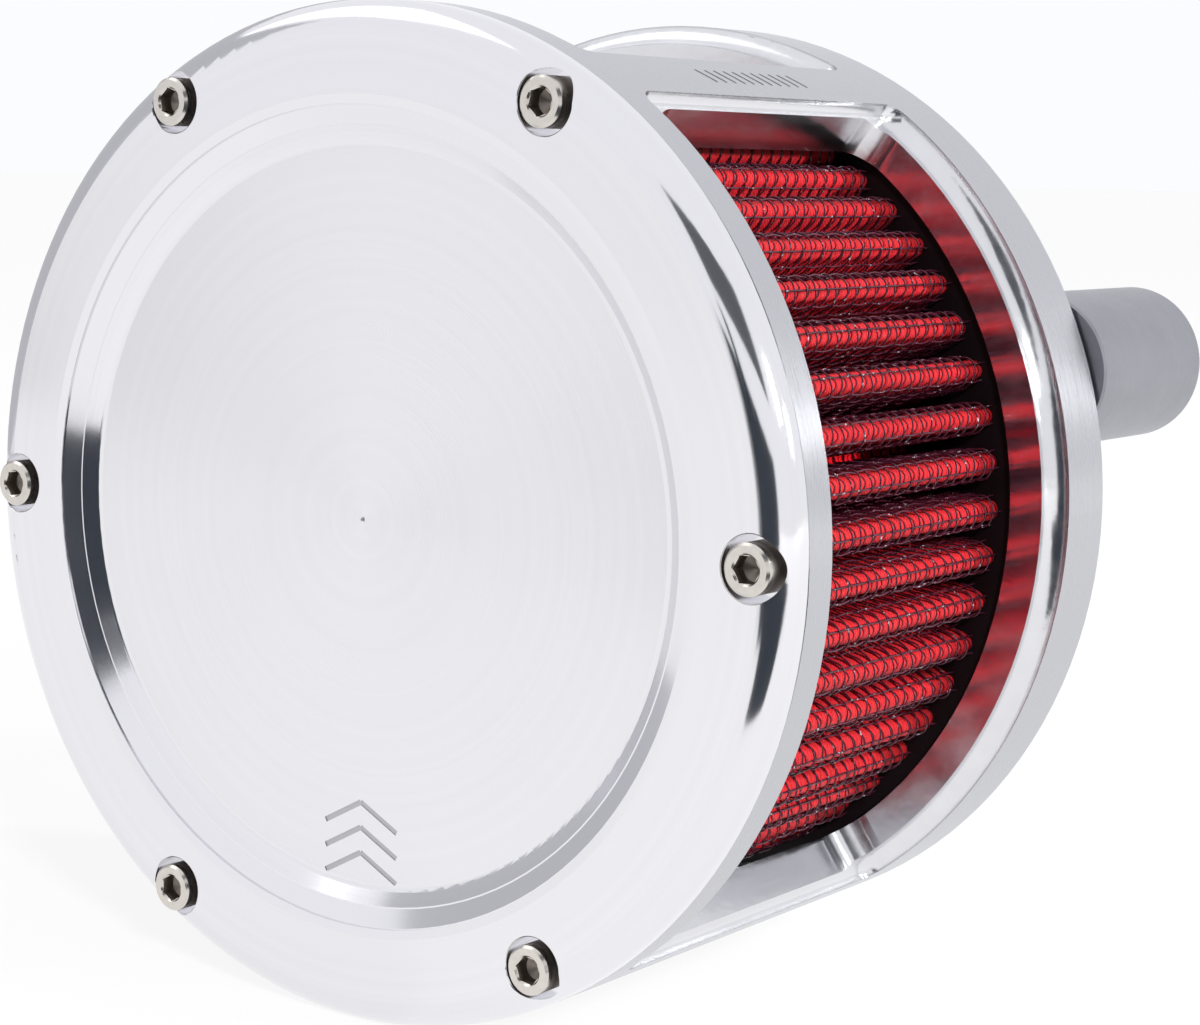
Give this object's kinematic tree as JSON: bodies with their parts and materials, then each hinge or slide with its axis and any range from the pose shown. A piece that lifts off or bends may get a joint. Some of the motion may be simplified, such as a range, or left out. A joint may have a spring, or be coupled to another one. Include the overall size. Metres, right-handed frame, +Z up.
{
  "type": "air filter",
  "caption": "Round billet motorcycle air filter: dished screwed-on cover, windowed cage, red pleated element, back plate with inlet bell, and rear breather tubes.",
  "frame": {"origin": "centre of the inlet bore at the rear face of the throttle spacer, which meets the throttle body", "axes": "+Y out of the throttle body face, away from the filter; the cover faces -Y; +Z up; +X to the right seen from the front"},
  "size_m": [0.165, 0.1438, 0.165],
  "materials": {
    "polished_aluminium": "polished, fine turning marks",
    "machined_aluminium": "brushed round the outside, polished coves",
    "turned_aluminium": "fine turned",
    "satin_aluminium": "bead blasted satin",
    "stainless_screws": "bright stainless",
    "black_rubber": "semi gloss",
    "black_urethane": "moulded, slightly glossy",
    "red_cotton": "oiled cotton gauze",
    "dark_wire": "epoxy coated fine wire",
    "perforated_steel": "zinc plated"
  },
  "bodies": {
    "housing": {"filter_cage": "machined_aluminium", "back_plate": "turned_aluminium", "throttle_spacer": "turned_aluminium", "spacer_seal": "black_rubber", "velocity_stack": "turned_aluminium", "cage_screws": "stainless_screws", "throttle_screws": "stainless_screws", "throttle_seal": "black_rubber", "breather_tube_right": "satin_aluminium", "breather_tube_left": "satin_aluminium", "breather_screw_right": "stainless_screws", "breather_screw_left": "stainless_screws", "face_seal_right": "black_rubber", "face_seal_left": "black_rubber", "socket_seal_right": "black_rubber", "socket_seal_left": "black_rubber"},
    "cover": {"front_cover": "polished_aluminium", "cover_seal": "black_rubber"},
    "screws": {"cover_screws": "stainless_screws"},
    "element": {"pleated_media": "red_cotton", "outer_mesh": "dark_wire", "inner_mesh": "dark_wire", "inner_support": "perforated_steel", "front_end_cap": "black_urethane", "rear_end_cap": "black_urethane"}
  },
  "joints": [
    {"name": "cover_off", "type": "slide", "parent": "housing", "child": "cover", "axis": [0, -1, 0], "range_m": [0, 0.19]},
    {"name": "cover_screws_out", "type": "slide", "parent": "cover", "child": "screws", "axis": [0, -1, 0], "range_m": [0, 0.02]},
    {"name": "element_out", "type": "slide", "parent": "housing", "child": "element", "axis": [0, -1, 0], "range_m": [0, 0.095]}
  ],
  "couplings": [
    {"joint": "element_out", "follows": "cover_off", "ratio": 0.5}
  ]
}
